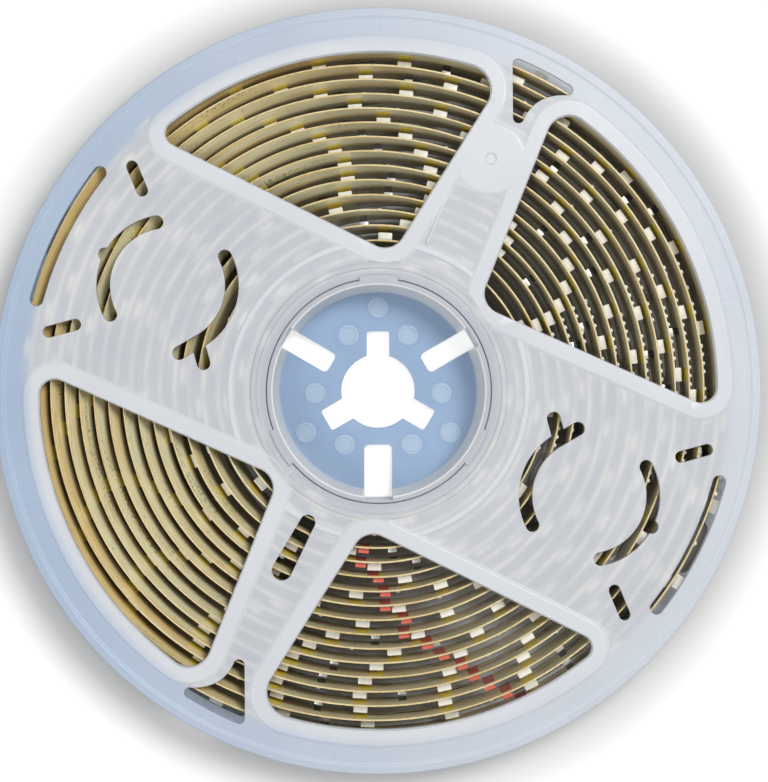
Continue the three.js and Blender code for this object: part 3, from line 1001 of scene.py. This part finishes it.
def liner_material():
    """Backing paper: bright near the upper edge and darker towards the bottom, with brown painted shade
    below the bright part where the turns lean.
    """
    m = Nodes("liner_tan")
    up = m.attribute("up")
    slack = m.attribute("slack")
    slow = strip_noise(m, 0.02, 0.6, 3)
    streak = strip_noise(m, 0.12, 3.5, 4)
    wavy_up = m.plus(up, m.times(m.minus(streak, 0.5), 1.2))
    base = m.ramp(m.over(m.plus(wavy_up, STRIP_WIDTH / 2), STRIP_WIDTH), PAPER)
    base = m.tint(base, m.ramp(slow, [(0.32, PAPER_WARM), (0.5, WHITE)]))
    base = m.tint(base, m.ramp(streak, [(0.27, PAPER_STREAK), (0.42, WHITE)]))
    outer = m.above(m.attribute("turn_radius"), OUTER_WARM_R, 0.2)
    base = m.mix(m.times(outer, slack), base, m.tint(base, OUTER_WARM))
    # Painted shade in brown below the bright part where the turns lean.
    shade = m.times(m.below(wavy_up, SHADE_TOP, 0.9), m.times(slack, 0.9))
    base = m.mix(shade, base, SHADE_BROWN)
    # Brown streaks on the lower half of the paper: painted reflections.
    brown_reflection = m.ramp(strip_noise(m, 0.09, 0.5, 2), [(0.6, BLACK), (0.66, WHITE)])
    base = m.mix(m.times(brown_reflection, m.below(up, BROWN_REFLECTION_TOP, 0.7)), base, BROWN_REFLECTION)
    # Olive-green patches where the turns lean: painted shade.
    olive_patches = m.ramp(strip_noise(m, 0.035, 0.3, 1), [(0.56, BLACK), (0.68, WHITE)])
    fleck = m.ramp(strip_noise(m, 1.3, 2.6, 3), [(0.5, BLACK), (0.6, WHITE)])
    base = m.mix(m.times(m.times(olive_patches, fleck), m.times(slack, 0.75)), base, OLIVE_SHADE)
    # Yellow patch beside each LED of the turn inside: painted reflection of its phosphor.
    led = m.below(m.attribute("led_inside"), LED_HALF, 5.0)
    reflection_top = m.line(slack, -LED_REFLECTION_DROP, LED_REFLECTION_TOP)
    reflection_low = m.times(m.below(up, reflection_top, 3.0), m.line(slack, -0.45, 1.0))
    base = m.mix(m.times(led, reflection_low), base, LED_REFLECTION_YELLOW)
    # Black patch where a resistor of the turn inside faces the paper: painted shade.
    chip = m.below(m.attribute("resistor_inside"), CHIP_HALF, 6.0)
    chip_shade_low = m.times(m.below(up, CHIP_TOP, 3.0), m.minus(1.0, slack))
    base = m.mix(m.times(chip, chip_shade_low), base, CHIP_SHADE_BLACK)
    # Red patches, one a turn: painted reflections of a red object.
    mark = m.below(m.attribute("red"), MARK_HALF, 4.0)
    base = m.mix(m.times(mark, m.below(up, MARK_TOP, 3.0)), base, RED_REFLECTION_TINT)
    m.colour(base)
    m.rough(streak, 0.16, 0.1)
    m.bump(streak, 0.25, 0.00006)
    m.set(IOR=1.5)
    return m.material


# Parts on the strip: sizes run along the strip, out of it and up
LED_SEAT = 0.05
LED_CLEAR = 0.12
CHIP_SIZE = (1.6, 1.0, 2.6)
CAP_SIZE = (1.7, 1.06, 0.6)
FILLET_SIZE = (1.75, 0.36, 0.5)
CAP_AT = 1.6
FILLET_AT = 2.05
PAD_MOUND = (0.55, 0.42, 0.6)
PAD_AT = 3.15
BEAD_MOUND = (0.48, 0.42, 0.3)
BEAD_AT = 3.1
RED_REFLECTION_SIZE = (2.1, 1.1, 1.2)
RED_REFLECTION_AT = 2.4


def rounded_box(bm, size, centre, bevel, segments=2, kind=0):
    """Adds a box with bevelled edges; kind is the number of its material."""
    old_verts, old_faces = set(bm.verts), set(bm.faces)
    verts = bmesh.ops.create_cube(bm, size=1)["verts"]
    for v in verts:
        v.co = Vector((v.co.x * size[0], v.co.y * size[1], v.co.z * size[2]))
    edges = list({e for v in verts for e in v.link_edges})
    bmesh.ops.bevel(bm, geom=edges, offset=bevel, segments=segments, affect="EDGES", profile=0.6)
    new = [v for v in bm.verts if v not in old_verts]
    bmesh.ops.translate(bm, verts=new, vec=centre)
    for face in bm.faces:
        if face not in old_faces:
            face.material_index = kind


def ball(bm, size, centre, segments, rings):
    """Adds a sphere stretched to three half sizes."""
    made = bmesh.ops.create_uvsphere(bm, u_segments=segments, v_segments=rings, radius=1)
    for v in made["verts"]:
        v.co = Vector([v.co[k] * size[k] + centre[k] for k in range(3)])


def stamped(name, build, lengths, materials):
    """One mesh with a copy of a small part at each length along the strip."""
    bm = bmesh.new()
    build(bm)
    bm.verts.index_update()
    base = np.array([v.co[:] for v in bm.verts])
    faces = [[v.index for v in f.verts] for f in bm.faces]
    kinds = [f.material_index for f in bm.faces]
    bm.free()
    verts, polygons, indices = [], [], []
    for length in lengths:
        origin, forward, out, up = frame_at(length)
        turn = rng.uniform(-0.02, 0.02)
        f = forward * math.cos(turn) + up * math.sin(turn)
        u = up * math.cos(turn) - forward * math.sin(turn)
        axes = np.array([f[:], out[:], u[:]]) * MM
        start = len(verts)
        verts.extend((np.array(origin[:]) + base @ axes).tolist())
        polygons.extend([[start + i for i in face] for face in faces])
        indices.extend(kinds)
    mesh = mesh_from(name, verts, polygons, indices)
    mesh.shade_smooth()
    mesh.set_sharp_from_angle(angle=math.radians(PART_SHARP))
    obj = add_object(name, mesh)
    for material in materials:
        mesh.materials.append(material)
    return obj


def led_shape(bm):
    """Package with a shallow cup of phosphor in its outer face and two solder feet."""
    low, high = SURFACE - LED_SEAT, SURFACE + LED_HEIGHT - LED_CLEAR
    rounded_box(bm, (LED_LENGTH, high - low, LED_BREADTH), (0, (low + high) / 2, 0), 0.12)
    top = max(bm.faces, key=lambda f: f.calc_center_median().y)
    bmesh.ops.inset_individual(bm, faces=[top], thickness=0.3, depth=0)
    bmesh.ops.inset_individual(bm, faces=[top], thickness=0.12, depth=-0.1)
    top.material_index = 1
    for side in (-1, 1):
        foot = (0, low + 0.2, side * (LED_BREADTH / 2 + 0.1))
        rounded_box(bm, (LED_LENGTH * 0.8, 0.5, 0.55), foot, 0.1, 1, 2)


def resistor_shape(bm):
    """Chip that lies across the strip, with a tinned cap and a fillet of solder at each end."""
    rounded_box(bm, CHIP_SIZE, (0, SURFACE + 0.5, 0), 0.08, kind=1)
    for side in (-1, 1):
        rounded_box(bm, CAP_SIZE, (0, SURFACE + 0.51, side * CAP_AT), 0.12)
        rounded_box(bm, FILLET_SIZE, (0, SURFACE + 0.12, side * FILLET_AT), 0.14)


def pad_shape(bm):
    """Mound of solder on a cutting pad near each edge of the strip."""
    for side in (-1, 1):
        ball(bm, PAD_MOUND, (0, SURFACE, side * PAD_AT), 12, 8)


def bead_shape(bm):
    """Bright bead close under the strip's upper edge: a painted glint given form."""
    ball(bm, BEAD_MOUND, (0, SURFACE + 0.16, BEAD_AT), 8, 6)


def red_reflection_shape(bm):
    """Red block that sticks out of the strip's outer face: a painted reflection given form."""
    rounded_box(bm, RED_REFLECTION_SIZE, (0, SURFACE + 0.5, RED_REFLECTION_AT), 0.12)


def bead_lengths():
    """Stations of the beads: only where the coil lies in one sector, the one where the painted glints fall.
    """
    stations = np.arange(30.0, STRIP_LENGTH - 10, BEAD_STEP)
    middle, spread = BEAD_SECTOR
    _, angle = coil(stations)
    inside = np.abs((angle - middle + 180) % 360 - 180) < spread
    clear = nearest(stations, LEDS, NEAR_LIMIT) > BEAD_CLEAR
    return [length for length in stations[inside & clear] if rng.random() < BEAD_SHARE]


strip = ribbon()
for material in (board_material(), edge_material(), liner_material()):
    strip.data.materials.append(material)

white_body = plain("led_body", srgb(255, 252, 244), 0.35, specks=0.01)
phosphor = plain("led_phosphor", srgb(226, 190, 40), 0.3)
solder = plain("solder", srgb(232, 230, 222), 0.28, metallic=0.35)
ceramic = plain("resistor_black", srgb(22, 21, 20), 0.4)
glint_white = plain("glint_white", srgb(252, 251, 246), 0.2)
red_reflection_material = plain("red_reflection", srgb(232, 112, 92), 0.4)

leds = stamped("led_packages", led_shape, LEDS, [white_body, phosphor, solder])
resistors = stamped("strip_resistors", resistor_shape, RESISTORS, [solder, ceramic])
pads = stamped("solder_pads", pad_shape, PADS, [solder])
# White beads in one sector: painted glints given form.
beads = stamped("glint_beads", bead_shape, bead_lengths(), [glint_white])
# Red blocks at the red marks: painted reflections given form.
red_reflection_pieces = stamped("red_reflections", red_reflection_shape, red_marks(), [red_reflection_material])

# Pieces on the frame
for obj, slot_name in (
    (front, "reel_front"), (back, "reel_back"), (strip, "strip"), (leds, "strip"),
    (resistors, "strip"), (pads, "strip"), (beads, "strip"), (red_reflection_pieces, "strip"),
):
    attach(obj, "root")
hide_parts("front_flange")
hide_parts("back_flange_and_hub")
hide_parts("led_strip")

# Floor, light and camera
# The floor and the lights are in metres. The camera's places and lens are in millimetres.
FLOOR_HALF = 2
FLOOR_TONE = 0.56
BACKDROP_GLOW = 0.66
CLEAR_OF_REEL = 0.075
HUB_HOLE = 0.0225
WORLD_TINT = (0.97, 0.985, 1, 1)
WORLD_STRENGTH = 0.28
EYE = (-6.4, 0.5, 422)
AIM = (1.0, 0, 12.2)
LENS = 95.4
SENSOR = 36


def floor_material():
    """Pale floor that meets the eye as white, and shows the reel's shadow round it."""
    m = Nodes("floor_white")
    m.set(Base_Color=(FLOOR_TONE, FLOOR_TONE, FLOOR_TONE, 1), Roughness=0.8, Emission_Color=(1, 1, 1, 1))
    path = m.add("ShaderNodeLightPath").outputs
    seen = m.math("MAXIMUM", m.math("MAXIMUM", path["Is Camera Ray"], path["Is Glossy Ray"]),
                  path["Is Transmission Ray"])
    x, y, _ = m.apart(m.own_place())
    distance = m.math("SQRT", m.plus(m.times(x, x), m.times(y, y)))
    beyond = m.above(distance, CLEAR_OF_REEL, 60.0)
    within = m.below(distance, HUB_HOLE, 1000.0)
    glow = m.times(m.times(seen, m.math("MAXIMUM", beyond, within)), BACKDROP_GLOW)
    m.link(glow, m.shader.inputs["Emission Strength"])
    return m.material


def softbox(name, location, size, power):
    data = bpy.data.lights.new(name, "AREA")
    data.size = size
    data.energy = power
    obj = bpy.data.objects.new(name, data)
    bpy.context.scene.collection.objects.link(obj)
    obj.location = location
    obj.rotation_euler = (-Vector(location)).to_track_quat("-Z", "Y").to_euler()


floor_mesh = bpy.data.meshes.new("floor")
corners = [(x * FLOOR_HALF, y * FLOOR_HALF, 0) for x, y in ((-1, -1), (1, -1), (1, 1), (-1, 1))]
floor_mesh.from_pydata(corners, [], [(0, 1, 2, 3)])
floor = add_object("floor", floor_mesh)
floor.data.materials.append(floor_material())

world = bpy.data.worlds.new("studio")
bpy.context.scene.world = world
world.use_nodes = True
sky = world.node_tree.nodes["Background"].inputs
sky["Color"].default_value = WORLD_TINT
sky["Strength"].default_value = WORLD_STRENGTH

softbox("key", (0.36, 0.32, 0.84), 0.35, 5.2)
softbox("fill", (-0.45, -0.35, 0.75), 0.5, 2.7)

camera_data = bpy.data.cameras.new("camera")
camera_data.lens = LENS
camera_data.sensor_width = SENSOR
camera = bpy.data.objects.new("camera", camera_data)
bpy.context.scene.collection.objects.link(camera)
eye = Vector(EYE) * MM
forward = (Vector(AIM) * MM - eye).normalized()
side = forward.cross(Vector((0, 1, 0))).normalized()
upward = side.cross(forward)
camera.matrix_world = Matrix.Translation(eye) @ Matrix((side, upward, -forward)).transposed().to_4x4()
bpy.context.scene.camera = camera
bpy.context.scene.view_settings.view_transform = "Standard"
